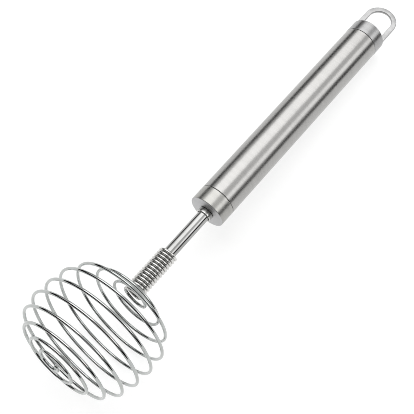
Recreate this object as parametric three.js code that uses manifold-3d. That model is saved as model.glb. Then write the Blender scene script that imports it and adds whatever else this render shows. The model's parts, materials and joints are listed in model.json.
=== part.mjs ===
// Ball whisk: a hollow steel handle, a thin rod, and one spring wire wound round the rod and out
// into a ball. It lies as it does on a table: the ball and the rim of the rear cap touch z = 0.
// Millimetres, +Z up, +X from the ball towards the hanging loop. The origin is under the middle of
// the outline.
//
// The pieces are made in the whisk's own axis frame: x runs along the handle's axis, 0 at the front
// face of the handle and positive towards the loop, y across the handle, z upwards. The whole group
// is then laid down.
import * as THREE from 'three';
import { mergeVertices } from 'three/addons/utils/BufferGeometryUtils.js';
import Module from 'manifold-3d';

// Handle
const HANDLE_LENGTH = 145; // front face to the rear cap's end face
const HANDLE_DIAMETER = 20;
const TUBE_WALL = 0.9;
const FRONT_CAP_LENGTH = 9;
const REAR_CAP_LENGTH = 8;
const REAR_CAP_STEP = 0.1; // how far the rear cap stands proud of the tube
const CAP_WALL = 1;
const CAP_END_WALL = 1.5;
const CAP_CHAMFER = 0.5;
const SPIGOT_LENGTH = 6; // the part of a cap that goes into the tube
const ROUND_SIDES = 40; // facets round a turned piece; one facet lies flat underneath

// Neck rod and what holds it in the front cap
const ROD_DIAMETER = 6.5;
const ROD_CHAMFER = 0.4;
const ROD_INSIDE_COIL_END = 1; // the rod stops this far inside the mouth of the coil
const ROD_PAST_NUT = 1.5;
const COLLAR_WALL = 0.5;
const COLLAR_LENGTH = 2.5;
const COLLAR_CHAMFER = 0.4;
const WASHER_DIAMETER = 12;
const WASHER_THICKNESS = 1;
const WASHER_CHAMFER = 0.15;
const NUT_ACROSS_FLATS = 10;
const NUT_THICKNESS = 4;

// Hanging loop, a flat strip bent to a U
const LOOP_INSET = 0.6; // each leg stands this far inside the handle's outline
const LOOP_REACH = 21.5; // from the rear cap's end face to the top of the bend
const STRIP_WIDTH = 2.8;
const STRIP_THICKNESS = 1.5;
const TENON_WIDTH = 1.2;
const TENON_THICKNESS = 1;
const TENON_FOOT_LENGTH = 3.2; // bent inwards behind the rear cap's end wall
const BEND_SEGMENTS = 12; // facets on each half circle of the loop

// Spring wire
const WIRE_DIAMETER = 1.6;
const COIL_START = 29.8; // from the handle's front face to the first turn of the coil
const COIL_TURNS = 14.5;
const COIL_GAP = 0.25; // between neighbouring turns of the coil
const BALL_DIAMETER = 64.2; // outside the wire
const BALL_LENGTH = 49.5; // from the coil's mouth to the tip, on the wire's centre line
const BALL_TURNS = 10.66;
const BALL_SQUARENESS = 3.07; // exponent of the ball's outline: 2 is an ellipse, more is a barrel
const TIP_RADIUS = 2.8; // where the wire ends beside the ball's axis
const EASE_TURNS = 0.4; // the wire leaves the coil gradually over this many turns
const CROWDING = 0.033; // bunching of the middle turns towards the tip, as a share of the outline

// How the ball stands off the coil, and how far it has sprung off the handle's line as the whisk
// lies on a table
const LEAN_TURNS = 1; // taken up by the first turn
const BALL_STAND_OFF = 1; // from the coil's mouth, so that the first turn is free of the coil
const BALL_NOD = 5.95; // degrees the tip is lifted
const BALL_SWAY = 3.1; // degrees the tip is turned towards +Y
const BALL_SIDE_STEP = -2.7; // sideways shift taken up by the first turn
const BALL_SIDE_DRIFT = 5.9; // sideways shift gained evenly from the mouth to the tip

// Degrees that the whole wire, and with it the lean, is turned about the handle's axis
const WIRE_ROLL = 14.2;

// Facets of the wire
const COIL_SIDES = 6;
const COIL_STEPS_PER_TURN = 14;
const BALL_SIDES = 8;
const BALL_STEPS_PER_TURN = 26;
const OUTLINE_DIVISIONS = 600; // of the ball's outline, for measuring along it

// Clearances
const FIT = 0.3; // between a piece and the one it seats on or passes through
const OVERCUT = 1; // how far a cutting block runs past the wall it cuts, or a tenon into its leg

const HANDLE_RADIUS = HANDLE_DIAMETER / 2;
const REAR_CAP_RADIUS = HANDLE_RADIUS + REAR_CAP_STEP;
const SPIGOT_RADIUS = HANDLE_RADIUS - TUBE_WALL - FIT;
const ROD_RADIUS = ROD_DIAMETER / 2;
const ROD_HOLE_RADIUS = ROD_RADIUS + FIT;
const WASHER_FACE = CAP_END_WALL + FIT;
const NUT_FACE = WASHER_FACE + WASHER_THICKNESS + FIT;
const COLLAR_RADIUS = ROD_HOLE_RADIUS + COLLAR_WALL;
const LOOP_RADIUS = HANDLE_RADIUS - LOOP_INSET;
const LOOP_HOLE_RADIUS = LOOP_RADIUS - STRIP_WIDTH;
const LOOP_SHOULDER = HANDLE_LENGTH + FIT;
const TENON_INSIDE = HANDLE_LENGTH - CAP_END_WALL - FIT; // where the bent foot starts
const WIRE_RADIUS = WIRE_DIAMETER / 2;
const COIL_RADIUS = ROD_RADIUS + FIT + WIRE_RADIUS;
const COIL_PITCH = WIRE_DIAMETER + COIL_GAP;
const COIL_MOUTH = -COIL_START - COIL_TURNS * COIL_PITCH;
const BALL_RADIUS = BALL_DIAMETER / 2 - WIRE_RADIUS;

const HANDLE_AXIS = new THREE.Vector3(1, 0, 0);
const NOD_AXIS = new THREE.Vector3(0, 1, 0);
const SWAY_AXIS = new THREE.Vector3(0, 0, 1);

const BRUSHED_TUBE = { color: 0xb4b2ae, roughness: 0.38, metalness: 1 };
const BRUSHED_CAP = { color: 0xb2b0a6, roughness: 0.42, metalness: 1 };
const POLISHED = { color: 0xc9cbc8, roughness: 0.16, metalness: 1 };
const ZINC = { color: 0xa9abab, roughness: 0.5, metalness: 1 };

const wasm = await Module();
wasm.setup();

function toSolid(geometry) {
  const bare = geometry.clone();
  bare.deleteAttribute('normal');
  bare.deleteAttribute('uv');
  const merged = mergeVertices(bare);
  const vertProperties = new Float32Array(merged.attributes.position.array);
  const triVerts = new Uint32Array(merged.index.array);
  return new wasm.Manifold(new wasm.Mesh({ numProp: 3, vertProperties, triVerts }));
}

function toGeometry(solid) {
  const { vertProperties, triVerts } = solid.getMesh();
  const geometry = new THREE.BufferGeometry();
  geometry.setAttribute('position', new THREE.BufferAttribute(vertProperties, 3));
  geometry.setIndex(new THREE.BufferAttribute(triVerts, 1));
  return geometry;
}

function block(lowX, highX, lowY, highY, thickness) {
  const geometry = new THREE.BoxGeometry(highX - lowX, highY - lowY, thickness);
  return geometry.translate((lowX + highX) / 2, (lowY + highY) / 2, 0);
}

// Turned piece round the x axis. Each outline point is [radius, x].
function turned(outline) {
  const points = outline.map(([radius, x]) => new THREE.Vector2(radius, x));
  const halfFacet = Math.PI / ROUND_SIDES;
  return new THREE.LatheGeometry(points, ROUND_SIDES, halfFacet).rotateZ(-Math.PI / 2);
}

// Ring with chamfered outer edges, bored for the rod.
function rodRing(radius, lowX, highX, chamfer) {
  return turned([
    [ROD_HOLE_RADIUS, lowX],
    [radius - chamfer, lowX],
    [radius, lowX + chamfer],
    [radius, highX - chamfer],
    [radius - chamfer, highX],
    [ROD_HOLE_RADIUS, highX],
    [ROD_HOLE_RADIUS, lowX],
  ]);
}

function handleTube() {
  const front = FRONT_CAP_LENGTH + FIT;
  const rear = HANDLE_LENGTH - REAR_CAP_LENGTH - FIT;
  const bore = HANDLE_RADIUS - TUBE_WALL;
  return turned([
    [bore, front],
    [HANDLE_RADIUS, front],
    [HANDLE_RADIUS, rear],
    [bore, rear],
    [bore, front],
  ]);
}

// Cup with a bored end wall; its spigot goes into the tube.
function frontCap() {
  const spigotEnd = FRONT_CAP_LENGTH + SPIGOT_LENGTH;
  const inside = SPIGOT_RADIUS - CAP_WALL;
  return turned([
    [ROD_HOLE_RADIUS, 0],
    [HANDLE_RADIUS - CAP_CHAMFER, 0],
    [HANDLE_RADIUS, CAP_CHAMFER],
    [HANDLE_RADIUS, FRONT_CAP_LENGTH],
    [SPIGOT_RADIUS, FRONT_CAP_LENGTH],
    [SPIGOT_RADIUS, spigotEnd],
    [inside, spigotEnd],
    [inside, CAP_END_WALL],
    [ROD_HOLE_RADIUS, CAP_END_WALL],
    [ROD_HOLE_RADIUS, 0],
  ]);
}

// Middle of a tenon across the handle: as far out as the cap's bore lets its foot pass.
function tenonMiddle() {
  return LOOP_HOLE_RADIUS + FIT + TENON_WIDTH / 2;
}

// Cup with a closed end wall, slotted for the loop's two tenons.
function rearCap() {
  const shoulder = HANDLE_LENGTH - REAR_CAP_LENGTH;
  const spigotEnd = shoulder - SPIGOT_LENGTH;
  const inside = SPIGOT_RADIUS - CAP_WALL;
  const roomy = REAR_CAP_RADIUS - CAP_WALL;
  const endWallInside = HANDLE_LENGTH - CAP_END_WALL;
  const cup = turned([
    [0, endWallInside],
    [roomy, endWallInside],
    [roomy, shoulder + CAP_WALL],
    [inside, shoulder + CAP_WALL],
    [inside, spigotEnd],
    [SPIGOT_RADIUS, spigotEnd],
    [SPIGOT_RADIUS, shoulder],
    [REAR_CAP_RADIUS, shoulder],
    [REAR_CAP_RADIUS, HANDLE_LENGTH - CAP_CHAMFER],
    [REAR_CAP_RADIUS - CAP_CHAMFER, HANDLE_LENGTH],
    [0, HANDLE_LENGTH],
  ]);
  let solid = toSolid(cup);
  const halfSlot = TENON_WIDTH / 2 + FIT;
  for (const side of [-1, 1]) {
    const middle = side * tenonMiddle();
    const slot = block(
      endWallInside - OVERCUT,
      HANDLE_LENGTH + OVERCUT,
      middle - halfSlot,
      middle + halfSlot,
      TENON_THICKNESS + 2 * FIT,
    );
    solid = solid.subtract(toSolid(slot));
  }
  return toGeometry(solid);
}

// Rod from inside the coil's mouth, through collar, cap, washer and nut.
function neckRod() {
  const front = COIL_MOUTH + ROD_INSIDE_COIL_END;
  const rear = NUT_FACE + NUT_THICKNESS + ROD_PAST_NUT;
  return turned([
    [0, front],
    [ROD_RADIUS - ROD_CHAMFER, front],
    [ROD_RADIUS, front + ROD_CHAMFER],
    [ROD_RADIUS, rear - ROD_CHAMFER],
    [ROD_RADIUS - ROD_CHAMFER, rear],
    [0, rear],
  ]);
}

function rodNut() {
  const corner = NUT_ACROSS_FLATS / 2 / Math.cos(Math.PI / 6);
  const corners = Array.from({ length: 6 }, (_, i) => {
    const angle = (i * Math.PI) / 3;
    return new THREE.Vector2(corner * Math.cos(angle), corner * Math.sin(angle));
  });
  const hexagon = new THREE.Shape(corners);
  hexagon.holes.push(new THREE.Path().absarc(0, 0, ROD_HOLE_RADIUS, 0, 2 * Math.PI, true));
  const options = { depth: NUT_THICKNESS, bevelEnabled: false, curveSegments: ROUND_SIDES / 2 };
  return new THREE.ExtrudeGeometry(hexagon, options).rotateY(Math.PI / 2).translate(NUT_FACE, 0, 0);
}

// U of flat strip. Each leg ends in a shoulder and a thinner tenon whose foot is bent inwards behind
// the end wall.
function hangingLoop() {
  const bendCentre = HANDLE_LENGTH + LOOP_REACH - LOOP_RADIUS;
  const quarter = Math.PI / 2;
  const outline = new THREE.Shape();
  outline.moveTo(LOOP_SHOULDER, -LOOP_RADIUS);
  outline.lineTo(bendCentre, -LOOP_RADIUS);
  outline.absarc(bendCentre, 0, LOOP_RADIUS, -quarter, quarter, false);
  outline.lineTo(LOOP_SHOULDER, LOOP_RADIUS);
  outline.lineTo(LOOP_SHOULDER, LOOP_HOLE_RADIUS);
  outline.lineTo(bendCentre, LOOP_HOLE_RADIUS);
  outline.absarc(bendCentre, 0, LOOP_HOLE_RADIUS, quarter, -quarter, true);
  outline.lineTo(LOOP_SHOULDER, -LOOP_HOLE_RADIUS);
  outline.closePath();
  const options = { depth: STRIP_THICKNESS, bevelEnabled: false, curveSegments: BEND_SEGMENTS };
  const strip = new THREE.ExtrudeGeometry(outline, options).translate(0, 0, -STRIP_THICKNESS / 2);
  let solid = toSolid(strip);
  const footEnd = TENON_INSIDE - TENON_THICKNESS;
  for (const side of [-1, 1]) {
    const outer = side * (tenonMiddle() + TENON_WIDTH / 2);
    const inner = side * (tenonMiddle() - TENON_WIDTH / 2);
    const toe = outer - side * TENON_FOOT_LENGTH;
    const tenon = block(
      footEnd,
      LOOP_SHOULDER + OVERCUT,
      Math.min(outer, inner),
      Math.max(outer, inner),
      TENON_THICKNESS,
    );
    const foot = block(
      footEnd,
      TENON_INSIDE,
      Math.min(outer, toe),
      Math.max(outer, toe),
      TENON_THICKNESS,
    );
    solid = solid.add(toSolid(tenon)).add(toSolid(foot));
  }
  return toGeometry(solid);
}

// Outline of the ball from the coil's mouth to the tip: x along the axis, y the wire's distance
// from it.
class BallOutline extends THREE.Curve {
  constructor() {
    super();
    this.arcLengthDivisions = OUTLINE_DIVISIONS;
    const angleAt = (radius) => Math.asin((radius / BALL_RADIUS) ** (BALL_SQUARENESS / 2));
    this.first = angleAt(COIL_RADIUS);
    this.last = Math.PI - angleAt(TIP_RADIUS);
  }

  getPoint(t, target = new THREE.Vector2()) {
    const angle = this.first + (this.last - this.first) * t;
    const power = 2 / BALL_SQUARENESS;
    const along = Math.sign(Math.cos(angle)) * Math.abs(Math.cos(angle)) ** power;
    const x = COIL_MOUTH - (BALL_LENGTH / 2) * (1 - along);
    return target.set(x, BALL_RADIUS * Math.sin(angle) ** power);
  }
}

const ballOutline = new BallOutline();

// Share of the outline that the wire has covered after some turns of the ball: it starts gently,
// then runs on with its middle turns a little crowded towards the tip.
function outlineShare(turn) {
  const eased = turn < EASE_TURNS ? turn ** 2 / (2 * EASE_TURNS) : turn - EASE_TURNS / 2;
  const even = Math.min(eased / (BALL_TURNS - EASE_TURNS / 2), 1);
  return even + CROWDING * Math.sin(Math.PI * even);
}

// Moves a point of the ball from the handle's own axis to where the leaning ball has it.
function lean(point, turn) {
  const taken = THREE.MathUtils.smoothstep(turn, 0, LEAN_TURNS);
  const standOff = BALL_STAND_OFF * Math.sin((Math.PI / 2) * Math.min(turn / LEAN_TURNS, 1));
  point.x -= COIL_MOUTH + standOff;
  point.y += BALL_SIDE_STEP * taken + (BALL_SIDE_DRIFT * turn) / BALL_TURNS;
  point.applyAxisAngle(NOD_AXIS, THREE.MathUtils.degToRad(BALL_NOD) * taken);
  point.applyAxisAngle(SWAY_AXIS, -THREE.MathUtils.degToRad(BALL_SWAY) * taken);
  point.x += COIL_MOUTH;
  return point;
}

// Centre of the wire. Turns are counted from the coil's mouth: negative in the coil, positive in
// the ball.
function wirePoint(turn, target = new THREE.Vector3()) {
  const angle = -2 * Math.PI * turn;
  if (turn <= 0) {
    const x = COIL_MOUTH - turn * COIL_PITCH;
    target.set(x, COIL_RADIUS * Math.cos(angle), COIL_RADIUS * Math.sin(angle));
  } else {
    const { x, y: radius } = ballOutline.getPointAt(outlineShare(turn));
    lean(target.set(x, radius * Math.cos(angle), radius * Math.sin(angle)), turn);
  }
  return target.applyAxisAngle(HANDLE_AXIS, THREE.MathUtils.degToRad(WIRE_ROLL));
}

class WirePath extends THREE.Curve {
  constructor(start, end) {
    super();
    this.start = start;
    this.end = end;
  }

  getPoint(t, target = new THREE.Vector3()) {
    return wirePoint(this.start + (this.end - this.start) * t, target);
  }
}

// Turns that a short length of wire takes up at a given turn.
function turnsPerLength(turn, length) {
  const radius = turn > 0 ? ballOutline.getPointAt(outlineShare(turn)).y : COIL_RADIUS;
  return length / (2 * Math.PI * radius);
}

// Stretch of round wire between two turn counts. An end that meets the next stretch stops half a
// clearance short.
function wireStretch(start, end, sides, stepsPerTurn) {
  const from = start > -COIL_TURNS ? start + turnsPerLength(start, FIT / 2) : start;
  const to = end < BALL_TURNS ? end - turnsPerLength(end, FIT / 2) : end;
  const section = new THREE.Shape();
  section.absarc(0, 0, WIRE_RADIUS, 0, 2 * Math.PI, false);
  return new THREE.ExtrudeGeometry(section, {
    steps: Math.ceil((end - start) * stepsPerTurn),
    curveSegments: sides / 2, // a full circle takes twice this many
    bevelEnabled: false,
    extrudePath: new WirePath(from, to),
  });
}

const whisk = new THREE.Group();

function addPiece(name, geometry, finish) {
  const mesh = new THREE.Mesh(geometry, new THREE.MeshStandardMaterial(finish));
  mesh.name = name;
  whisk.add(mesh);
  return mesh;
}

addPiece('handle_tube', handleTube(), BRUSHED_TUBE);
addPiece('front_cap', frontCap(), BRUSHED_CAP);
addPiece('rear_cap', rearCap(), BRUSHED_CAP);
addPiece('neck_rod', neckRod(), POLISHED);
addPiece('rod_collar', rodRing(COLLAR_RADIUS, -FIT - COLLAR_LENGTH, -FIT, COLLAR_CHAMFER), POLISHED);
const washerRear = WASHER_FACE + WASHER_THICKNESS;
addPiece('rod_washer', rodRing(WASHER_DIAMETER / 2, WASHER_FACE, washerRear, WASHER_CHAMFER), ZINC);
addPiece('rod_nut', rodNut(), ZINC);
addPiece('hanging_loop', hangingLoop(), POLISHED);
addPiece('neck_coil', wireStretch(-COIL_TURNS, 0, COIL_SIDES, COIL_STEPS_PER_TURN), POLISHED);

const ballPieces = [];
for (let turn = 0; turn < BALL_TURNS; turn++) {
  const end = Math.min(turn + 1, BALL_TURNS);
  const name = end < BALL_TURNS ? `ball_turn_${turn + 1}` : 'ball_tip';
  ballPieces.push(addPiece(name, wireStretch(turn, end, BALL_SIDES, BALL_STEPS_PER_TURN), POLISHED));
}

// Slope at which the ball and the bottom of the rear cap's rim touch one flat surface.
function restingSlope() {
  const rimX = HANDLE_LENGTH - CAP_CHAMFER;
  const rimZ = -REAR_CAP_RADIUS * Math.cos(Math.PI / ROUND_SIDES);
  let slope = 0;
  for (const { geometry } of ballPieces) {
    const position = geometry.attributes.position;
    for (let i = 0; i < position.count; i++) {
      slope = Math.max(slope, Math.atan2(rimZ - position.getZ(i), rimX - position.getX(i)));
    }
  }
  return slope;
}

whisk.rotation.y = restingSlope();
whisk.updateMatrixWorld(true);
const outlineBox = new THREE.Box3().setFromObject(whisk, true);
const middle = outlineBox.getCenter(new THREE.Vector3());
whisk.position.set(-middle.x, -middle.y, -outlineBox.min.z);

export default whisk;
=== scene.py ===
"""Ball whisk on a white table: a hollow steel handle with a loop, a rod, and one spring wire.

Every piece is made in the whisk's own axis frame, in metres: x runs along the handle from its front
face towards the loop, y across it, z up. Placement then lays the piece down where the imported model
has it.
"""

import json  # noqa: E402
import logging  # noqa: E402
import math  # noqa: E402
from dataclasses import dataclass, field  # noqa: E402
from enum import Enum  # noqa: E402
from typing import Any, Callable, Sequence  # noqa: E402

import bpy  # noqa: E402
import numpy as np  # noqa: E402
from mathutils import Matrix, Vector  # noqa: E402


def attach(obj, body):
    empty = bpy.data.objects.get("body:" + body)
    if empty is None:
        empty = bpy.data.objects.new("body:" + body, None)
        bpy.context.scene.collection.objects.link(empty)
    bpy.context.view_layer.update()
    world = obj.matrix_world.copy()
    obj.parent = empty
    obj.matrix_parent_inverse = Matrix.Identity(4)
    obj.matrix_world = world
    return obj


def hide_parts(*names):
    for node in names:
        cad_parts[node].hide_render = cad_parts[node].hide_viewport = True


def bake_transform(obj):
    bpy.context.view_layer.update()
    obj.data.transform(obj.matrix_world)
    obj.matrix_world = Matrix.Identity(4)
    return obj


logging.basicConfig(level=logging.INFO, format="%(message)s")
log = logging.getLogger("whisk")

MM = 0.001
AXIS = Vector((1.0, 0.0, 0.0))


class Slot(str, Enum):
    """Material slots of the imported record."""

    TUBE = "brushed_tube"
    CAP = "brushed_cap"
    POLISHED = "polished_steel"
    SPRING = "spring_steel"
    PLAIN = "plain_steel"


# -------------------------------------------------------------------------------------------------
# Where the whisk lies
# -------------------------------------------------------------------------------------------------


@dataclass(frozen=True)
class Placement:
    """Turns the whisk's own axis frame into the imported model's frame."""

    matrix: Matrix

    @staticmethod
    def from_joints(joints: Sequence[dict[str, Any]], split: Vector) -> "Placement":
        """Works out how the whisk lies from the hinge at the root of the ball.

        Args:
            joints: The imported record's joints.
            split: Where that hinge sits in the whisk's own frame.

        Returns:
            The placement of the whole whisk.
        """
        hinge = next(j for j in joints if j["name"] == "ball_sway")
        up = Vector(hinge["axis"])
        turn = Matrix.Rotation(math.atan2(up.x, up.z), 4, "Y")
        return Placement(Matrix.Translation(Vector(hinge["pos_m"]) - turn @ split) @ turn)

    def lay_down(self, piece: bpy.types.Object) -> None:
        """Moves a finished piece to where the whisk lies, with its object left at the origin.

        Args:
            piece: A mesh made in the whisk's own frame.
        """
        only(piece)
        piece.matrix_world = self.matrix @ piece.matrix_world
        bpy.ops.object.transform_apply(location=True, rotation=True, scale=True)

    @property
    def pattern_turn(self) -> tuple[float, float, float]:
        """Rotation that turns a pattern on object coordinates into line with the handle."""
        return tuple(self.matrix.inverted().to_euler())

    @property
    def pattern_shift(self) -> tuple[float, float, float]:
        """Location that centres a turned pattern on the handle's axis."""
        return tuple(self.matrix.inverted().translation)


# -------------------------------------------------------------------------------------------------
# Modelling helpers
# -------------------------------------------------------------------------------------------------


def only(piece: bpy.types.Object) -> None:
    """Selects one object and nothing else, in object mode."""
    if bpy.context.object and bpy.context.object.mode != "OBJECT":
        bpy.ops.object.mode_set(mode="OBJECT")
    bpy.ops.object.select_all(action="DESELECT")
    piece.select_set(True)
    bpy.context.view_layer.objects.active = piece


def edit(piece: bpy.types.Object, pick: str = "FACE") -> None:
    """Opens a piece in edit mode with nothing selected.

    Args:
        piece: The object to shape.
        pick: What selections hold: VERT, EDGE or FACE.
    """
    only(piece)
    bpy.ops.object.mode_set(mode="EDIT")
    bpy.ops.mesh.select_mode(type=pick)
    bpy.ops.mesh.select_all(action="DESELECT")


def pick_faces(piece: bpy.types.Object, wanted: Callable[[Vector, Vector], bool]) -> None:
    """Selects the faces that a test asks for, in edit mode.

    Args:
        piece: The object in edit mode.
        wanted: Takes a face's centre and normal.
    """
    bpy.ops.mesh.select_all(action="DESELECT")
    bpy.ops.object.mode_set(mode="OBJECT")
    for face in piece.data.polygons:
        face.select = wanted(face.center, face.normal)
    bpy.ops.object.mode_set(mode="EDIT")


def round_sharp_edges(radius: float, segments: int, sharper_than: float = 30.0) -> None:
    """Bevels the sharp edges of the mesh in edit mode.

    Args:
        radius: Width of the rounding.
        segments: Faces across it.
        sharper_than: Smallest angle between faces that counts as sharp, in degrees.
    """
    bpy.ops.mesh.select_mode(type="EDGE")
    bpy.ops.mesh.select_all(action="DESELECT")
    bpy.ops.mesh.edges_select_sharp(sharpness=math.radians(sharper_than))
    bpy.ops.mesh.bevel(offset=radius, segments=segments, affect="EDGES", clamp_overlap=True)


def finish_mesh(
    piece: bpy.types.Object, smooth_below: float = 35.0, true_faces: bool = False
) -> None:
    """Merges doubles, turns the faces outwards and shades the piece smooth.

    Args:
        piece: The object to finish.
        smooth_below: Edges gentler than this many degrees are shaded smooth.
        true_faces: Whether large faces keep their own shading and only the rounded edges bend it.
    """
    edit(piece)
    bpy.ops.mesh.select_all(action="SELECT")
    bpy.ops.mesh.remove_doubles(threshold=1e-6)
    bpy.ops.mesh.normals_make_consistent(inside=False)
    only(piece)
    bpy.ops.object.shade_smooth_by_angle(angle=math.radians(smooth_below))
    if true_faces:
        weighting = piece.modifiers.new("true faces", "WEIGHTED_NORMAL")
        weighting.keep_sharp = True
        weighting.weight = 100
        bpy.ops.object.modifier_apply(modifier=weighting.name)


def turn_on_lathe(
    name: str, outline: Sequence[tuple[float, float]], rounding: float, steps: int = 128
) -> bpy.types.Object:
    """Turns an outline about the handle's axis.

    Args:
        name: Name of the piece.
        outline: Corners as (x, radius). It closes on itself, unless it starts and ends on the axis.
        rounding: Radius broken on every sharp edge.
        steps: Faces round the piece.

    Returns:
        The turned piece, in the whisk's own frame.
    """
    bpy.ops.object.select_all(action="DESELECT")
    start = Vector((outline[0][0], 0.0, outline[0][1]))
    bpy.ops.mesh.primitive_plane_add(size=MM, location=start)
    piece = bpy.context.active_object
    piece.name = piece.data.name = name
    bpy.ops.object.mode_set(mode="EDIT")
    bpy.ops.mesh.select_mode(type="VERT")
    bpy.ops.mesh.select_all(action="SELECT")
    bpy.ops.mesh.merge(type="CENTER")
    corners = list(outline) if outline[0][1] == 0.0 else [*outline, outline[0]]
    for (x, radius), (next_x, next_radius) in zip(corners, corners[1:]):
        step = (next_x - x, 0.0, next_radius - radius)
        bpy.ops.mesh.extrude_region_move(TRANSFORM_OT_translate={"value": step})
    bpy.ops.mesh.select_all(action="SELECT")
    bpy.ops.mesh.spin(steps=steps, angle=2 * math.pi, center=(0.0, 0.0, 0.0), axis=AXIS)
    bpy.ops.mesh.select_all(action="SELECT")
    bpy.ops.mesh.remove_doubles(threshold=1e-6)
    bpy.ops.mesh.normals_make_consistent(inside=False)
    round_sharp_edges(rounding, segments=3)
    finish_mesh(piece, true_faces=True)
    return piece


def cut_away(piece: bpy.types.Object, low: Vector, high: Vector) -> None:
    """Cuts a block out of a piece.

    Args:
        piece: The piece to cut.
        low: Lowest corner of the block.
        high: Highest corner of the block.
    """
    bpy.ops.object.select_all(action="DESELECT")
    bpy.ops.mesh.primitive_cube_add(size=1.0, location=(low + high) / 2)
    cutter = bpy.context.active_object
    cutter.scale = high - low
    only(piece)
    cut = piece.modifiers.new("slot", "BOOLEAN")
    cut.operation, cut.solver, cut.object = "DIFFERENCE", "EXACT", cutter
    bpy.ops.object.modifier_apply(modifier=cut.name)
    bpy.data.objects.remove(cutter, do_unlink=True)


# -------------------------------------------------------------------------------------------------
# Finishes
# -------------------------------------------------------------------------------------------------


class Graph:
    """A node tree with short ways to add and join nodes."""

    def __init__(self, tree: bpy.types.NodeTree) -> None:
        """Takes the tree to build in."""
        self.tree = tree

    def add(
        self, kind: str, settings: dict[str, Any] | None = None, **inputs: Any
    ) -> bpy.types.Node:
        """Adds a node.

        Args:
            kind: Blender's node type.
            settings: Properties of the node itself.
            **inputs: Values or output sockets, by name with underscores, or in0, in1 by number.

        Returns:
            The new node.
        """
        node = self.tree.nodes.new(kind)
        for key, value in (settings or {}).items():
            setattr(node, key, value)
        for key, value in inputs.items():
            socket = node.inputs[
                int(key[2:]) if key[:2] == "in" and key[2:].isdigit() else key.replace("_", " ")
            ]
            if isinstance(value, bpy.types.NodeSocket):
                self.tree.links.new(value, socket)
            else:
                socket.default_value = value
        return node

    def math(self, operation: str, first: Any, second: Any = 0.0) -> bpy.types.NodeSocket:
        """Adds a Math node and returns its output."""
        return self.add(
            "ShaderNodeMath", {"operation": operation}, in0=first, in1=second
        ).outputs[0]

    def blend_colour(self, share: Any, first: Any, second: Any) -> bpy.types.NodeSocket:
        """Mixes two colours and returns the result."""
        node = self.add("ShaderNodeMix", {"data_type": "RGBA"}, in0=share, in6=first, in7=second)
        return node.outputs[2]

    def stretch(
        self, value: Any, low: float, high: float, to_low: float, to_high: float
    ) -> bpy.types.NodeSocket:
        """Maps a range of values onto another and returns the result."""
        node = self.add(
            "ShaderNodeMapRange",
            None,
            Value=value,
            From_Min=low,
            From_Max=high,
            To_Min=to_low,
            To_Max=to_high,
        )
        return node.outputs[0]


def new_group(
    name: str, inputs: Sequence[tuple[str, str, Any]], outputs: Sequence[str]
) -> tuple[Graph, Any, Any]:
    """Starts a shader node group.

    Args:
        name: Name of the group.
        inputs: Each (name, socket type, default or None).
        outputs: Names of the float outputs.

    Returns:
        The graph inside the group, its input node and its output node.
    """
    tree = bpy.data.node_groups.new(name, "ShaderNodeTree")
    for label, kind, default in inputs:
        socket = tree.interface.new_socket(name=label, in_out="INPUT", socket_type=kind)
        if default is not None:
            socket.default_value = default
    for label in outputs:
        tree.interface.new_socket(name=label, in_out="OUTPUT", socket_type="NodeSocketFloat")
    graph = Graph(tree)
    return graph, graph.add("NodeGroupInput"), graph.add("NodeGroupOutput")


def turning_lines_group() -> bpy.types.NodeTree:
    """Fine lines left by turning or by brushing round the axis, on flanks and on end faces alike.

    Returns:
        A group with a Height and a slow Tone that drifts from one band of lines to the next.
    """
    inputs = [("Vector", "NodeSocketVector", None), ("Lines per metre", "NodeSocketFloat", 2500.0)]
    graph, given, out = new_group("turning lines", inputs, ["Height", "Tone"])
    place = graph.add("ShaderNodeSeparateXYZ", None, Vector=given.outputs["Vector"])
    x, y, z = place.outputs
    out_from_axis = graph.math(
        "SQRT", graph.math("ADD", graph.math("MULTIPLY", y, y), graph.math("MULTIPLY", z, z))
    )
    lines = given.outputs["Lines per metre"]
    drift = graph.math("MULTIPLY", graph.math("ADD", y, z), 90.0)
    fine = graph.add(
        "ShaderNodeCombineXYZ",
        None,
        X=graph.math("MULTIPLY", x, lines),
        Y=graph.math("MULTIPLY", out_from_axis, lines),
        Z=drift,
    )
    strokes = graph.add(
        "ShaderNodeTexNoise", None, Vector=fine.outputs[0], Scale=1.0, Detail=4.0, Roughness=0.62
    )
    coarse = graph.add(
        "ShaderNodeVectorMath", {"operation": "SCALE"}, in0=fine.outputs[0], Scale=0.16
    )
    bands = graph.add("ShaderNodeTexNoise", None, Vector=coarse.outputs[0], Scale=1.0, Detail=2.0)
    graph.tree.links.new(strokes.outputs[0], out.inputs["Height"])
    graph.tree.links.new(bands.outputs[0], out.inputs["Tone"])
    return graph.tree


def handling_marks_group() -> bpy.types.NodeTree:
    """Smudges and stray hairline scratches from use.

    Returns:
        A group with a soft Smudge mask and a thin Scratch mask.
    """
    inputs = [
        ("Vector", "NodeSocketVector", None),
        ("Smudge scale", "NodeSocketFloat", 60.0),
        ("Scratch scale", "NodeSocketFloat", 150.0),
    ]
    graph, given, out = new_group("handling marks", inputs, ["Smudge", "Scratch"])
    cloud = graph.add(
        "ShaderNodeTexNoise",
        None,
        Vector=given.outputs["Vector"],
        Scale=given.outputs["Smudge scale"],
        Detail=3.0,
        Roughness=0.55,
    )
    bent = graph.add(
        "ShaderNodeMapping",
        None,
        Vector=given.outputs["Vector"],
        Rotation=(0.5, 0.9, 0.3),
        Scale=(1.0, 0.12, 0.35),
    )
    cells = graph.add(
        "ShaderNodeTexVoronoi",
        {"feature": "DISTANCE_TO_EDGE"},
        Vector=bent.outputs[0],
        Scale=given.outputs["Scratch scale"],
    )
    graph.tree.links.new(
        graph.stretch(cloud.outputs[0], 0.42, 0.68, 0.0, 1.0), out.inputs["Smudge"]
    )
    graph.tree.links.new(
        graph.stretch(cells.outputs["Distance"], 0.0, 0.012, 1.0, 0.0), out.inputs["Scratch"]
    )
    return graph.tree


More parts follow.
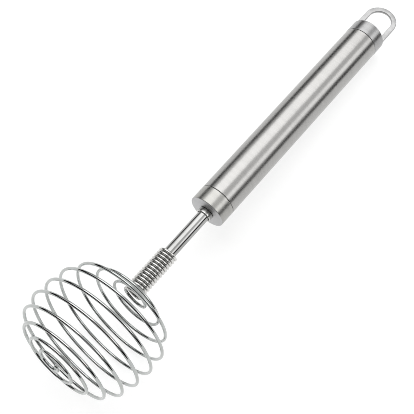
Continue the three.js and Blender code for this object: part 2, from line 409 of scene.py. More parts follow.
def drawn_lines_group() -> bpy.types.NodeTree:
    """Faint lines along a wire, from the die it was drawn through.

    Returns:
        A group with a Height and a slow Tone along the wire.
    """
    inputs = [("Around and along", "NodeSocketVector", None), ("Vector", "NodeSocketVector", None)]
    graph, given, out = new_group("drawn lines", inputs, ["Height", "Tone"])
    scaled = graph.add(
        "ShaderNodeMapping", None, Vector=given.outputs["Around and along"], Scale=(30.0, 30.0, 1.0)
    )
    strokes = graph.add("ShaderNodeTexNoise", None, Vector=scaled.outputs[0], Scale=1.0, Detail=3.0)
    drift = graph.add(
        "ShaderNodeTexNoise", None, Vector=given.outputs["Vector"], Scale=220.0, Detail=2.0
    )
    graph.tree.links.new(strokes.outputs[0], out.inputs["Height"])
    graph.tree.links.new(drift.outputs[0], out.inputs["Tone"])
    return graph.tree


@dataclass
class Workshop:
    """The shared node groups and the placement that materials need."""

    placement: Placement
    turning_lines: bpy.types.NodeTree = field(default_factory=turning_lines_group)
    handling_marks: bpy.types.NodeTree = field(default_factory=handling_marks_group)
    drawn_lines: bpy.types.NodeTree = field(default_factory=drawn_lines_group)

    def start(self, name: str) -> tuple[
        bpy.types.Material, Graph, bpy.types.Node, bpy.types.NodeSocket
    ]:
        """Starts a material.

        Args:
            name: Name of the material.

        Returns:
            The material, its graph, its shader and coordinates in line with the handle.
        """
        material = bpy.data.materials.new(name)
        material.use_nodes = True
        graph = Graph(material.node_tree)
        shader = material.node_tree.nodes["Principled BSDF"]
        place = graph.add("ShaderNodeTexCoord")
        along = graph.add(
            "ShaderNodeMapping",
            None,
            Vector=place.outputs["Object"],
            Location=self.placement.pattern_shift,
            Rotation=self.placement.pattern_turn,
        )
        return material, graph, shader, along.outputs[0]

    def marks(self, graph: Graph, vector: Any, smudge: float, scratch: float) -> bpy.types.Node:
        """Places the handling marks in a material with its own scales."""
        return graph.add(
            "ShaderNodeGroup",
            {"node_tree": self.handling_marks},
            Vector=vector,
            Smudge_scale=smudge,
            Scratch_scale=scratch,
        )


@dataclass(frozen=True)
class BrushedSteel:
    """Steel brushed round the handle's axis."""

    name: str
    slot: Slot
    colour: tuple[float, float, float, float]
    dull_colour: tuple[float, float, float, float]
    roughness: float
    roughness_spread: float = 0.1
    lines_per_metre: float = 2600.0
    line_depth: float = 0.003 * MM
    face_roughness: float = 0.48
    face_colour: tuple[float, float, float, float] = (0.54, 0.54, 0.545, 1.0)
    face_depth: float = 0.0
    smudge_scale: float = 45.0
    scratch_scale: float = 130.0
    smudge_share: float = 0.35
    scratch_share: float = 0.8
    bump_strength: float = 0.5

    def build(self, shop: Workshop) -> bpy.types.Material:
        """Builds the material.

        Args:
            shop: Where the shared groups are.

        Returns:
            The finished material.
        """
        material, graph, shader, vector = shop.start(self.name)
        lines = graph.add(
            "ShaderNodeGroup",
            {"node_tree": shop.turning_lines},
            Vector=vector,
            Lines_per_metre=self.lines_per_metre,
        )
        marks = shop.marks(graph, vector, self.smudge_scale, self.scratch_scale)
        tone = graph.stretch(lines.outputs["Tone"], 0.3, 0.7, 0.0, 1.0)
        colour = graph.blend_colour(tone, self.dull_colour, self.colour)
        smudge_depth = self.smudge_share * self.roughness_spread
        smudge = graph.math("MULTIPLY", marks.outputs["Smudge"], smudge_depth)
        if self.face_depth:
            x = graph.add("ShaderNodeSeparateXYZ", None, Vector=vector).outputs["X"]
            on_face = graph.stretch(x, self.face_depth / 2, self.face_depth, 1.0, 0.0)
            colour = graph.blend_colour(on_face, colour, self.face_colour)
            duller = graph.math("MULTIPLY", on_face, self.face_roughness - self.roughness)
            smudge = graph.math("ADD", smudge, duller)
        strokes = graph.stretch(
            lines.outputs["Height"],
            0.3,
            0.7,
            self.roughness - self.roughness_spread / 2,
            self.roughness + self.roughness_spread / 2,
        )
        height = graph.math(
            "SUBTRACT",
            lines.outputs["Height"],
            graph.math("MULTIPLY", marks.outputs["Scratch"], self.scratch_share),
        )
        bump = graph.add(
            "ShaderNodeBump",
            None,
            Strength=self.bump_strength,
            Distance=self.line_depth,
            Height=height,
        )
        graph.tree.links.new(colour, shader.inputs["Base Color"])
        graph.tree.links.new(graph.math("ADD", strokes, smudge), shader.inputs["Roughness"])
        graph.tree.links.new(bump.outputs[0], shader.inputs["Normal"])
        shader.inputs["Metallic"].default_value = 1.0
        return material


@dataclass(frozen=True)
class PolishedSteel:
    """Steel polished bright, with faint waviness, smudges and hairlines."""

    name: str
    slot: Slot
    colour: tuple[float, float, float, float]
    roughness: float
    dull_roughness: float
    wave_depth: float = 0.004 * MM
    lines_per_metre: float = 1400.0
    smudge_scale: float = 110.0
    scratch_scale: float = 260.0
    smudge_darkening: float = 0.86
    scratch_share: float = 0.3
    bump_strength: float = 0.35

    def build(self, shop: Workshop) -> bpy.types.Material:
        """Builds the material.

        Args:
            shop: Where the shared groups are.

        Returns:
            The finished material.
        """
        material, graph, shader, vector = shop.start(self.name)
        lines = graph.add(
            "ShaderNodeGroup",
            {"node_tree": shop.turning_lines},
            Vector=vector,
            Lines_per_metre=self.lines_per_metre,
        )
        marks = shop.marks(graph, vector, self.smudge_scale, self.scratch_scale)
        darker = tuple(self.smudge_darkening * value for value in self.colour[:3]) + (1.0,)
        colour = graph.blend_colour(marks.outputs["Smudge"], self.colour, darker)
        rough = graph.stretch(
            marks.outputs["Smudge"], 0.0, 1.0, self.roughness, self.dull_roughness
        )
        height = graph.math(
            "SUBTRACT",
            lines.outputs["Tone"],
            graph.math("MULTIPLY", marks.outputs["Scratch"], self.scratch_share),
        )
        bump = graph.add(
            "ShaderNodeBump",
            None,
            Strength=self.bump_strength,
            Distance=self.wave_depth,
            Height=height,
        )
        graph.tree.links.new(colour, shader.inputs["Base Color"])
        graph.tree.links.new(rough, shader.inputs["Roughness"])
        graph.tree.links.new(bump.outputs[0], shader.inputs["Normal"])
        shader.inputs["Metallic"].default_value = 1.0
        return material


@dataclass(frozen=True)
class DrawnWire:
    """Bright drawn spring wire."""

    name: str
    slot: Slot
    colour: tuple[float, float, float, float]
    stained_colour: tuple[float, float, float, float]
    roughness: float
    dull_roughness: float
    line_depth: float = 0.003 * MM
    smudge_scale: float = 90.0
    scratch_scale: float = 300.0
    bump_strength: float = 0.4

    def build(self, shop: Workshop) -> bpy.types.Material:
        """Builds the material.

        Args:
            shop: Where the shared groups are.

        Returns:
            The finished material.
        """
        material, graph, shader, vector = shop.start(self.name)
        wire_map = graph.add("ShaderNodeUVMap", {"uv_map": SpringWire.MAP_NAME})
        lines = graph.add(
            "ShaderNodeGroup",
            {"node_tree": shop.drawn_lines},
            Around_and_along=wire_map.outputs[0],
            Vector=vector,
        )
        marks = shop.marks(graph, vector, self.smudge_scale, self.scratch_scale)
        tone = graph.stretch(lines.outputs["Tone"], 0.35, 0.7, 0.0, 1.0)
        colour = graph.blend_colour(tone, self.colour, self.stained_colour)
        rough = graph.stretch(
            marks.outputs["Smudge"], 0.0, 1.0, self.roughness, self.dull_roughness
        )
        bump = graph.add(
            "ShaderNodeBump",
            None,
            Strength=self.bump_strength,
            Distance=self.line_depth,
            Height=lines.outputs["Height"],
        )
        graph.tree.links.new(colour, shader.inputs["Base Color"])
        graph.tree.links.new(rough, shader.inputs["Roughness"])
        graph.tree.links.new(bump.outputs[0], shader.inputs["Normal"])
        shader.inputs["Metallic"].default_value = 1.0
        return material


@dataclass(frozen=True)
class Finishes:
    """Every finish of the whisk."""

    tube: BrushedSteel = BrushedSteel(
        "brushed steel tube",
        Slot.TUBE,
        (0.395, 0.39, 0.382, 1.0),
        (0.37, 0.365, 0.357, 1.0),
        roughness=0.24,
    )
    front_cap: BrushedSteel = BrushedSteel(
        "faced front cap",
        Slot.CAP,
        (0.39, 0.386, 0.37, 1.0),
        (0.36, 0.356, 0.34, 1.0),
        roughness=0.27,
        face_depth=0.25 * MM,
    )
    rear_cap: BrushedSteel = BrushedSteel(
        "brushed rear cap",
        Slot.CAP,
        (0.37, 0.37, 0.372, 1.0),
        (0.335, 0.335, 0.335, 1.0),
        roughness=0.27,
    )
    polished: PolishedSteel = PolishedSteel(
        "polished steel", Slot.POLISHED, (0.38, 0.38, 0.375, 1.0), 0.06, 0.12
    )
    loop: PolishedSteel = PolishedSteel(
        "satin steel strip", Slot.POLISHED, (0.38, 0.38, 0.38, 1.0), 0.16, 0.26
    )
    # The collar's base colour is partly its own satin steel and partly painted highlight that
    # brightens the ring; its satin roughness is real.
    collar: PolishedSteel = PolishedSteel(
        "satin steel collar lightened as painted highlight", Slot.POLISHED, (0.66, 0.66, 0.645, 1.0), 0.18, 0.26
    )
    wire: DrawnWire = DrawnWire(
        "drawn spring wire",
        Slot.SPRING,
        (0.49, 0.508, 0.502, 1.0),
        (0.44, 0.452, 0.442, 1.0),
        0.02,
        0.05,
    )
    # The coil is the same drawn wire as the ball. Its lighter base colour is painted highlight that
    # brightens the close turns; its rougher surface is real.
    coil: DrawnWire = DrawnWire(
        "close wound wire lightened as painted highlight",
        Slot.SPRING,
        (0.7, 0.695, 0.68, 1.0),
        (0.62, 0.615, 0.6, 1.0),
        0.19,
        0.24,
    )
    plain: BrushedSteel = BrushedSteel(
        "plain machined steel",
        Slot.PLAIN,
        (0.5, 0.5, 0.49, 1.0),
        (0.42, 0.42, 0.41, 1.0),
        roughness=0.4,
        lines_per_metre=1500.0,
    )


def dress(
    piece: bpy.types.Object, body: str, finish: Any, shop: Workshop, replaces: Sequence[str] = ()
) -> None:
    """Gives a finished piece its material, its body and the CAD nodes it stands for.

    Args:
        piece: The finished piece.
        body: The body it moves with, or an empty word to leave it unattached.
        finish: One of the finishes.
        shop: Where materials are made.
        replaces: CAD nodes that it replaces.
    """
    material = bpy.data.materials.get(finish.name) or finish.build(shop)
    piece.data.materials.clear()
    piece.data.materials.append(material)
    if body:
        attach(piece, body)
    if replaces:
        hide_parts(*replaces)
    log.info("%s: %d faces", piece.name, len(piece.data.polygons))


# -------------------------------------------------------------------------------------------------
# The spring wire
# -------------------------------------------------------------------------------------------------


@dataclass
class SpringWire:
    """One wire: a close coil round the rod, then a ball of spaced turns that leans a little."""

    MAP_NAME = "UVMap"

    wire_radius: float = 0.8 * MM
    coil_radius: float = 4.35 * MM
    coil_start: float = 29.8 * MM
    coil_turns: float = 14.5
    coil_pitch: float = 1.85 * MM
    ball_radius: float = 31.3 * MM
    ball_length: float = 49.5 * MM
    ball_turns: float = 10.66
    squareness: float = 3.07
    tip_radius: float = 2.8 * MM
    ease_turns: float = 0.4
    crowding: float = 0.033
    lean_turns: float = 1.0
    stand_off: float = 1.0 * MM
    nod: float = math.radians(5.95)
    sway: float = math.radians(3.1)
    side_step: float = -2.7 * MM
    side_drift: float = 5.9 * MM
    roll: float = math.radians(14.2)
    outline_divisions: int = 600
    coil_steps: int = 56
    ball_steps: int = 128
    roundness: int = 8
    dome_steps: int = 6

    def __post_init__(self) -> None:
        """Measures along the ball's outline once."""
        power = self.squareness / 2
        first = math.asin((self.coil_radius / self.ball_radius) ** power)
        last = math.pi - math.asin((self.tip_radius / self.ball_radius) ** power)
        self._angles = np.linspace(first, last, self.outline_divisions + 1)
        x, radius = self._outline(self._angles)
        self._lengths = np.concatenate([[0.0], np.cumsum(np.hypot(np.diff(x), np.diff(radius)))])

    def _outline(self, angle: Any) -> tuple[Any, Any]:
        """The ball's outline, as x and radius, at an angle from the mouth to the tip."""
        along = np.sign(np.cos(angle)) * np.abs(np.cos(angle)) ** (2 / self.squareness)
        radius = self.ball_radius * np.sin(angle) ** (2 / self.squareness)
        return self.mouth - self.ball_length / 2 * (1 - along), radius

    @property
    def mouth(self) -> float:
        """Where the coil ends and the ball starts, along the handle's axis."""
        return -self.coil_start - self.coil_turns * self.coil_pitch

    def point(self, turn: float) -> Vector:
        """Centre of the wire.

        Args:
            turn: Turns from the coil's mouth, negative in the coil and positive in the ball.

        Returns:
            The point in the whisk's own frame.
        """
        angle = -2 * math.pi * turn
        roll = Matrix.Rotation(self.roll, 3, "X")
        if turn <= 0:
            x, radius = self.mouth - turn * self.coil_pitch, self.coil_radius
            return roll @ Vector((x, radius * math.cos(angle), radius * math.sin(angle)))
        if turn < self.ease_turns:
            eased = turn**2 / (2 * self.ease_turns)
        else:
            eased = turn - self.ease_turns / 2
        share = min(eased / (self.ball_turns - self.ease_turns / 2), 1.0)
        share += self.crowding * math.sin(math.pi * share)
        x, radius = self._outline(np.interp(share * self._lengths[-1], self._lengths, self._angles))
        y, z = float(radius) * math.cos(angle), float(radius) * math.sin(angle)
        off_mouth = Vector((float(x) - self.mouth, y, z))
        ramp = min(turn / self.lean_turns, 1.0)
        taken = ramp * ramp * (3 - 2 * ramp)
        off_mouth.x -= self.stand_off * math.sin(math.pi / 2 * ramp)
        off_mouth.y += self.side_step * taken + self.side_drift * turn / self.ball_turns
        lean = Matrix.Rotation(
            -self.sway * taken, 3, "Z"
        ) @ Matrix.Rotation(self.nod * taken, 3, "Y")
        return roll @ (Vector((self.mouth, 0.0, 0.0)) + lean @ off_mouth)

    def _stretch(
        self, name: str, start: float, end: float, steps_per_turn: int, placement: Placement
    ) -> bpy.types.Object:
        """Draws one stretch of the wire as a path and gives it its thickness.

        Args:
            name: Name of the piece.
            start: Turn at which it starts.
            end: Turn at which it ends.
            steps_per_turn: Points along each turn.
            placement: Where the whisk lies.

        Returns:
            The stretch as a mesh, where the whisk lies. A free end of the wire is domed.
        """
        count = math.ceil((end - start) * steps_per_turn) + 1
        turns = list(np.linspace(start, end, count))
        widths = [1.0] * count
        if start <= -self.coil_turns:
            turns, widths = self._domed(turns, widths)
        if end >= self.ball_turns:
            back_turns, back_widths = self._domed(turns[::-1], widths[::-1])
            turns, widths = back_turns[::-1], back_widths[::-1]
        bpy.ops.object.select_all(action="DESELECT")
        bpy.ops.curve.primitive_nurbs_path_add(radius=self.coil_radius)
        piece = bpy.context.active_object
        piece.name = piece.data.name = name
        curve = piece.data
        curve.splines.clear()
        spline = curve.splines.new("POLY")
        spline.points.add(len(turns) - 1)
        for knot, turn, width in zip(spline.points, turns, widths):
            knot.co = (*self.point(turn), 1.0)
            knot.radius = width
        curve.dimensions, curve.twist_mode = "3D", "MINIMUM"
        curve.bevel_depth, curve.bevel_resolution = self.wire_radius, self.roundness
        curve.use_fill_caps = True
        only(piece)
        bpy.ops.object.convert(target="MESH")
        piece = bpy.context.active_object
        finish_mesh(piece, 60.0)
        placement.lay_down(piece)
        return piece

    def _domed(self, turns: list[float], widths: list[float]) -> tuple[list[float], list[float]]:
        """Narrows the first wire radius of a stretch to a dome.

        Args:
            turns: Turns along the stretch, from its free end.
            widths: Share of the full thickness at each.

        Returns:
            The turns and widths with the dome's steps added.
        """
        near = (self.point(turns[0]) - self.point(turns[1])).length / (turns[1] - turns[0])
        rise = self.wire_radius * 0.5
        dome = [
            (turns[0] + rise * (1 - math.cos(a)) / near, 0.5 + 0.5 * math.sin(a))
            for a in np.linspace(0.0, math.pi / 2, self.dome_steps)
        ]
        way = math.copysign(1, near)
        dome_end = (dome[-1][0] - turns[0]) * way
        kept = [(t, w) for t, w in zip(turns, widths) if (t - turns[0]) * way > dome_end]
        both = dome + kept
        return [t for t, _ in both], [w for _, w in both]

    def build(self, placement: Placement, finishes: Finishes, shop: Workshop) -> None:
        """Builds the coil and the ball, split where the joints bend them.

        Args:
            placement: Where the whisk lies.
            finishes: The whisk's finishes.
            shop: Where materials are made.
        """
        coil = self._stretch("neck_coil_wire", -self.coil_turns, 0.0, self.coil_steps, placement)
        dress(coil, "handle", finishes.coil, shop, ["neck_coil"])
        for number in (1, 2):
            turn = self._stretch(
                f"ball_wire_turn_{number}", number - 1.0, float(number), self.ball_steps, placement
            )
            dress(turn, f"ball_turn_{number}", finishes.wire, shop, [f"ball_turn_{number}"])
        cage = self._stretch("ball_wire_cage", 2.0, self.ball_turns, self.ball_steps, placement)
        numbers = range(3, math.ceil(self.ball_turns))
        rest = [f"ball_turn_{number}" for number in numbers] + ["ball_tip"]
        dress(cage, "", finishes.wire, shop, rest)
        root = placement.matrix @ self.point(2.0)
        along = self.press_direction(placement)
        depth = (placement.matrix @ self.point(self.ball_turns) - root).dot(along)
        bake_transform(cage)

    @staticmethod
    def press_direction(placement: Placement) -> Vector:
        """Direction in which the ball gives way when its tip is pressed."""
        press = next(j for j in frame["joints"] if j["name"] == "ball_press")
        return Vector(press["axis"]).normalized()


# -------------------------------------------------------------------------------------------------
# The handle
# -------------------------------------------------------------------------------------------------


@dataclass
class Handle:
    """Hollow tube and the two caps that close it."""

    length: float = 145 * MM
    radius: float = 10 * MM
    wall: float = 0.9 * MM
    front_cap_length: float = 9 * MM
    rear_cap_length: float = 8 * MM
    rear_cap_step: float = 0.1 * MM
    cap_wall: float = 1 * MM
    end_wall: float = 1.5 * MM
    spigot: float = 6 * MM
    rod_hole: float = 3.55 * MM
    fit: float = 0.3 * MM
    seam: float = 0.08 * MM
    edge: float = 0.42 * MM
    seam_edge: float = 0.14 * MM
    slot_middle: float = 7.5 * MM
    slot_half_width: float = 0.9 * MM
    slot_half_height: float = 0.8 * MM

    @property
    def _spigot_radius(self) -> float:
        """Outside of a cap where it goes into the tube."""
        return self.radius - self.wall - self.fit

    def tube(self) -> bpy.types.Object:
        """Builds the tube, open at both ends."""
        front = self.front_cap_length + self.seam
        rear = self.length - self.rear_cap_length - self.seam
        bore = self.radius - self.wall
        return turn_on_lathe(
            "handle_sleeve",
            [(front, bore), (front, self.radius), (rear, self.radius), (rear, bore)],
            self.seam_edge,
        )

    def front_cap(self) -> bpy.types.Object:
        """Builds the front cap, a cup bored for the rod."""
        inside = self._spigot_radius - self.cap_wall
        end = self.front_cap_length + self.spigot
        outline = [
            (0.0, self.rod_hole),
            (0.0, self.radius),
            (self.front_cap_length, self.radius),
            (self.front_cap_length, self._spigot_radius),
            (end, self._spigot_radius),
            (end, inside),
            (self.end_wall, inside),
            (self.end_wall, self.rod_hole),
        ]
        return turn_on_lathe("front_cap_turned", outline, self.edge)

    def rear_cap(self) -> bpy.types.Object:
        """Builds the rear cap, a closed cup slotted for the loop's two tenons."""
        outer = self.radius + self.rear_cap_step
        shoulder = self.length - self.rear_cap_length
        inside = self._spigot_radius - self.cap_wall
        outline = [
            (self.length - self.end_wall, 0.0),
            (self.length - self.end_wall, outer - self.cap_wall),
            (shoulder + self.cap_wall, outer - self.cap_wall),
            (shoulder + self.cap_wall, inside),
            (shoulder - self.spigot, inside),
            (shoulder - self.spigot, self._spigot_radius),
            (shoulder, self._spigot_radius),
            (shoulder, outer),
            (self.length, outer),
            (self.length, 0.0),
        ]
        cap = turn_on_lathe("rear_cap_turned", outline, self.edge)
        for side in (-1, 1):
            middle = Vector((self.length - self.end_wall / 2, side * self.slot_middle, 0.0))
            half = Vector((self.end_wall, self.slot_half_width, self.slot_half_height))
            cut_away(cap, middle - half, middle + half)
        finish_mesh(cap, true_faces=True)
        return cap

    def build(self, placement: Placement, finishes: Finishes, shop: Workshop) -> None:
        """Builds and dresses the tube and the caps.

        Args:
            placement: Where the whisk lies.
            finishes: The whisk's finishes.
            shop: Where materials are made.
        """
        for piece, finish, node in (
            (self.tube(), finishes.tube, "handle_tube"),
            (self.front_cap(), finishes.front_cap, "front_cap"),
            (self.rear_cap(), finishes.rear_cap, "rear_cap"),
        ):
            placement.lay_down(piece)
            dress(piece, "handle", finish, shop, [node])


@dataclass
class Neck:
    """The rod, its collar, and the nut and washer that hold it behind the front cap."""

    rod_radius: float = 3.25 * MM
    rod_front: float = -55.625 * MM
    rod_rear: float = 8.6 * MM
    rod_edge: float = 0.35 * MM
    collar_radius: float = 4.05 * MM
    collar_length: float = 2.5 * MM
    collar_bore: float = 3.55 * MM
    collar_edge: float = 0.22 * MM
    gap: float = 0.3 * MM

    def build(self, placement: Placement, finishes: Finishes, shop: Workshop) -> None:
        """Builds the rod and the collar, and dresses the hidden nut and washer.

        Args:
            placement: Where the whisk lies.
            finishes: The whisk's finishes.
            shop: Where materials are made.
        """
        rod = turn_on_lathe(
            "neck_rod_polished",
            [
                (self.rod_front, 0.0),
                (self.rod_front, self.rod_radius),
                (self.rod_rear, self.rod_radius),
                (self.rod_rear, 0.0),
            ],
            self.rod_edge,
            steps=64,
        )
        rear, front = -self.gap, -self.gap - self.collar_length
        collar = turn_on_lathe(
            "rod_collar_polished",
            [
                (front, self.collar_bore),
                (front, self.collar_radius),
                (rear, self.collar_radius),
                (rear, self.collar_bore),
            ],
            self.collar_edge,
            steps=96,
        )
        for piece, finish, node in (
            (rod, finishes.polished, "neck_rod"), (collar, finishes.collar, "rod_collar")
        ):
            placement.lay_down(piece)
            dress(piece, "handle", finish, shop, [node])
        for node in ("rod_washer", "rod_nut"):
            dress(frame["nodes"][node], "", finishes.plain, shop)


@dataclass
class HangingLoop:
    """Flat strip bent to a U, each leg with a tenon whose foot is bent inwards behind the cap."""

    shoulder: float = 145.3 * MM
    outside_width: float = 18.8 * MM
    reach_end: float = 166.5 * MM
    strip_width: float = 2.8 * MM
    strip_thickness: float = 1.5 * MM
    edge: float = 0.3 * MM
    bend_steps: int = 48
    tenon_width: float = 1.2 * MM
    tenon_thickness: float = 1.0 * MM
    tenon_middle: float = 7.5 * MM
    tenon_inside: float = 143.2 * MM
    foot_length: float = 3.2 * MM

    def strip(self) -> bpy.types.Object:
        """Builds the strip: out along one leg, round the bend and back along the other.

        Returns:
            The bent strip with its edges rounded and no tenons yet.
        """
        bend_middle = self.reach_end - self.outside_width / 2
        leg_middle = self.outside_width / 2 - self.strip_width / 2
        leg = bend_middle - self.shoulder
        bpy.ops.object.select_all(action="DESELECT")
        start = (self.shoulder, -leg_middle, 0.0)
        bpy.ops.mesh.primitive_plane_add(size=1.0, location=start, rotation=(0.0, math.pi / 2, 0.0))
        piece = bpy.context.active_object
        piece.name = piece.data.name = "hanging_loop_strip"
        piece.scale = (self.strip_thickness, self.strip_width, 1.0)
        bpy.ops.object.transform_apply(location=True, rotation=True, scale=True)
        bpy.ops.object.mode_set(mode="EDIT")
        bpy.ops.mesh.select_mode(type="FACE")
        bpy.ops.mesh.select_all(action="SELECT")
        bpy.ops.mesh.extrude_region_move(TRANSFORM_OT_translate={"value": (leg, 0.0, 0.0)})
        bpy.ops.mesh.spin(
            steps=self.bend_steps,
            angle=-math.pi,
            center=(bend_middle, 0.0, 0.0),
            axis=(0.0, 0.0, 1.0),
        )
        bpy.ops.mesh.extrude_region_move(TRANSFORM_OT_translate={"value": (-leg, 0.0, 0.0)})
        bpy.ops.mesh.select_all(action="SELECT")
        bpy.ops.mesh.remove_doubles(threshold=1e-6)
        bpy.ops.mesh.normals_make_consistent(inside=False)
        round_sharp_edges(self.edge, segments=3, sharper_than=60.0)
        return piece

    def tenon(self, piece: bpy.types.Object, side: int) -> None:
        """Draws a tenon out of a leg's end and bends its foot inwards.

        Args:
            piece: The strip, in edit mode.
            side: -1 or 1, which leg.
        """
        end = self.shoulder + 0.1 * self.edge
        pick_faces(
            piece,
            lambda centre,
            normal: normal.x < -0.99 and centre.y * side > 0 and centre.x < end,
        )
        leg_middle = side * (self.outside_width - self.strip_width) / 2
        bpy.ops.mesh.extrude_region_move()
        bpy.ops.transform.resize(
            value=(
                1.0,
                self.tenon_width / self.strip_width,
                self.tenon_thickness / self.strip_thickness,
            ),
            center_override=(self.shoulder, leg_middle, 0.0),
        )
        bpy.ops.transform.translate(value=(0.0, side * self.tenon_middle - leg_middle, 0.0))
        for depth in (self.shoulder - self.tenon_inside, self.tenon_thickness):
            bpy.ops.mesh.extrude_region_move(TRANSFORM_OT_translate={"value": (-depth, 0.0, 0.0)})
        reach = self.foot_length - self.tenon_width
        inner = self.tenon_middle - self.tenon_width / 2
        pick_faces(
            piece,
            lambda centre, normal: normal.y * side < -0.9
            and centre.x < self.tenon_inside
            and abs(centre.y * side - inner) < 0.25 * self.tenon_width,
        )
        bpy.ops.mesh.extrude_region_move(
            TRANSFORM_OT_translate={"value": (0.0, -side * reach, 0.0)}
        )

    def build(self, placement: Placement, finishes: Finishes, shop: Workshop) -> None:
        """Builds and dresses the loop.

        Args:
            placement: Where the whisk lies.
            finishes: The whisk's finishes.
            shop: Where materials are made.
        """
        piece = self.strip()
        for side in (-1, 1):
            self.tenon(piece, side)
        finish_mesh(piece, 40.0, true_faces=True)
        placement.lay_down(piece)
        dress(piece, "handle", finishes.loop, shop, ["hanging_loop"])


# -------------------------------------------------------------------------------------------------
# The studio
# -------------------------------------------------------------------------------------------------


@dataclass(frozen=True)
class SoftBox:
    """A large soft light over the table, aimed at the whisk."""

    name: str
    tilt: float
    spread: float
    distance: float
    length: float
    lean: float
    watts: float

    def build(self, aim: Vector) -> None:
        """Hangs the light.

        Args:
            aim: The point it looks at. Tilt is measured from straight above towards -Y, in degrees.
        """
        data = bpy.data.lights.new(self.name, "AREA")
        data.shape = "RECTANGLE"
        data.size = self.length
        data.size_y = 2 * self.distance * math.tan(math.radians(self.spread / 2))
        data.energy = self.watts
        light = bpy.data.objects.new(self.name, data)
        bpy.context.scene.collection.objects.link(light)
        tilt = math.radians(self.tilt)
        back = Vector((self.lean, -math.sin(tilt), math.cos(tilt))).normalized()
        side = Vector((1.0, 0.0, 0.0))
        side = (side - back * side.dot(back)).normalized()
        light.matrix_world = Matrix((side, back.cross(side), back)).transposed().to_4x4()
        light.location = aim + back * self.distance


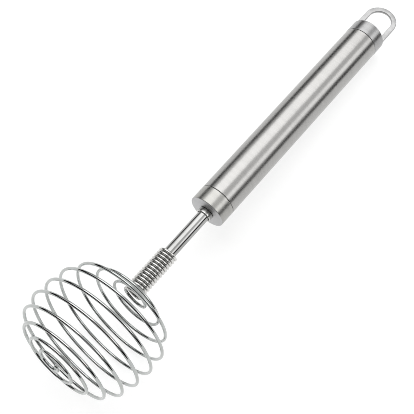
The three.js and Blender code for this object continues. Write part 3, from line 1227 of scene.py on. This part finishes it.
@dataclass(frozen=True)
class Studio:
    """Plain white floor, soft lights overhead, and the camera."""

    floor_size: float = 8.0
    floor_colour: tuple[float, float, float, float] = (0.42, 0.422, 0.42, 1.0)
    floor_glow: float = 0.74
    floor_gloss: float = 0.15
    floor_grain: float = 900.0
    floor_smooth: float = 0.55
    floor_rough: float = 0.7
    camera_azimuth: float = math.radians(-50.99)
    camera_elevation: float = math.radians(68.55)
    camera_aim: Vector = Vector((-26.77 * MM, 0.57 * MM, 23.39 * MM))
    camera_distance: float = 427.1 * MM
    lens: float = 73.913
    sensor_width: float = 36.0
    clip: tuple[float, float] = (0.01, 50.0)
    lights: tuple[SoftBox, ...] = (
        SoftBox(
            "overhead softbox",
            tilt=-21.5,
            spread=49.0,
            distance=1.2,
            length=1.3,
            lean=0.37,
            watts=6.1,
        ),
        SoftBox(
            "side softbox", tilt=50.5, spread=21.0, distance=1.2, length=1.3, lean=0.37, watts=2.0
        ),
    )
    sky: float = 0.95
    dark_band: float = 0.0
    dark_top: float = 0.2
    sky_start: float = 0.5
    sky_middle: float = 0.34
    sky_half_width: float = 0.36
    sky_end: float = 0.5
    end_wall_from: float = 0.9
    end_wall_full: float = 0.96
    backdrop: float = 0.9
    sharpness: float = 1.0

    def floor(self) -> None:
        """Lays the floor."""
        bpy.ops.object.select_all(action="DESELECT")
        bpy.ops.mesh.primitive_plane_add(size=self.floor_size, location=(0.0, 0.0, 0.0))
        floor = bpy.context.active_object
        floor.name = "floor"
        material = bpy.data.materials.new("matte white table")
        material.use_nodes = True
        graph = Graph(material.node_tree)
        shader = material.node_tree.nodes["Principled BSDF"]
        place = graph.add("ShaderNodeTexCoord")
        grain = graph.add(
            "ShaderNodeTexNoise",
            None,
            Vector=place.outputs["Object"],
            Scale=self.floor_grain,
            Detail=3.0,
        )
        rough = graph.stretch(grain.outputs[0], 0.3, 0.7, self.floor_smooth, self.floor_rough)
        graph.tree.links.new(rough, shader.inputs["Roughness"])
        shader.inputs["Base Color"].default_value = self.floor_colour
        shader.inputs["Specular IOR Level"].default_value = self.floor_gloss
        shader.inputs["Emission Color"].default_value = (1.0, 1.0, 1.0, 1.0)
        shader.inputs["Emission Strength"].default_value = self.floor_glow
        floor.data.materials.append(material)

    @staticmethod
    def _fade(graph: Graph, value: Any, zero_at: float, one_at: float) -> bpy.types.NodeSocket:
        """Eases from 0 to 1 between two values and returns the result."""
        settings = {"interpolation_type": "SMOOTHSTEP"}
        return graph.add(
            "ShaderNodeMapRange", settings, Value=value, From_Min=zero_at, From_Max=one_at
        ).outputs[0]

    def surroundings(self) -> None:
        """Makes the room: pale overhead, dark low down, plain pale where it is seen directly."""
        world = bpy.data.worlds.new("room")
        bpy.context.scene.world = world
        world.use_nodes = True
        graph = Graph(world.node_tree)
        background = world.node_tree.nodes["Background"]
        place = graph.add("ShaderNodeTexCoord")
        across, _, height = graph.add(
            "ShaderNodeSeparateXYZ", None, Vector=place.outputs["Generated"]
        ).outputs
        above = self._fade(graph, height, self.dark_top, self.sky_start)
        off_middle = graph.math("ABSOLUTE", graph.math("SUBTRACT", across, self.sky_middle))
        overhead = graph.math(
            "MULTIPLY", above, self._fade(graph, off_middle, self.sky_end, self.sky_half_width)
        )
        end_walls = self._fade(
            graph, graph.math("ABSOLUTE", across), self.end_wall_from, self.end_wall_full
        )
        path = graph.add("ShaderNodeLightPath")
        greys = (self.dark_band, self.sky, self.backdrop)
        dark, pale, white = ((value,) * 3 + (1.0,) for value in greys)
        room = graph.blend_colour(graph.math("MAXIMUM", overhead, end_walls), dark, pale)
        colour = graph.blend_colour(path.outputs["Is Camera Ray"], room, white)
        graph.tree.links.new(colour, background.inputs["Color"])

    def camera(self) -> None:
        """Sets up the camera."""
        data = bpy.data.cameras.new("camera")
        data.lens, data.sensor_width = self.lens, self.sensor_width
        camera = bpy.data.objects.new("camera", data)
        bpy.context.scene.collection.objects.link(camera)
        bpy.context.scene.camera = camera
        flat = math.cos(self.camera_elevation)
        back = Vector(
            (
                math.sin(self.camera_azimuth) * flat,
                -math.cos(self.camera_azimuth) * flat,
                math.sin(self.camera_elevation),
            )
        )
        right = Vector((math.cos(self.camera_azimuth), math.sin(self.camera_azimuth), 0.0))
        camera.matrix_world = Matrix((right, back.cross(right), back)).transposed().to_4x4()
        camera.location = self.camera_aim + back * self.camera_distance
        data.clip_start, data.clip_end = self.clip

    def build(self) -> None:
        """Builds everything round the whisk."""
        self.camera()
        self.floor()
        self.surroundings()
        for light in self.lights:
            light.build(Vector((0.0, 0.0, 0.0)))
        scene = bpy.context.scene
        scene.view_settings.view_transform = "Standard"
        scene.cycles.filter_width = self.sharpness
        scene.cycles.denoising_prefilter = "NONE"


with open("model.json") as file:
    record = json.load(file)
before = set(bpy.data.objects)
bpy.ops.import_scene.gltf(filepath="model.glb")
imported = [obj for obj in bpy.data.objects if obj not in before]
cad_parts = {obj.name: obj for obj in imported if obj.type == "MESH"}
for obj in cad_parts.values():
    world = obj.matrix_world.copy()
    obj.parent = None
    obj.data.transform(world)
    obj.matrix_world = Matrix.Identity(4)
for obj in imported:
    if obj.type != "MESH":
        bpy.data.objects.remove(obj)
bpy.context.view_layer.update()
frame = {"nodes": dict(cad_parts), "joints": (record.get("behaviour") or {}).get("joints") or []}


def main() -> None:
    """Builds the studio and then the whisk, one sub-assembly after the other."""
    Studio().build()
    spring = SpringWire()
    placement = Placement.from_joints(frame["joints"], spring.point(0.0))
    shop = Workshop(placement)
    finishes = Finishes()
    for assembly in (spring, Handle(), Neck(), HangingLoop()):
        log.info("building %s", type(assembly).__name__)
        assembly.build(placement, finishes, shop)


if __name__ == "__main__":
    main()
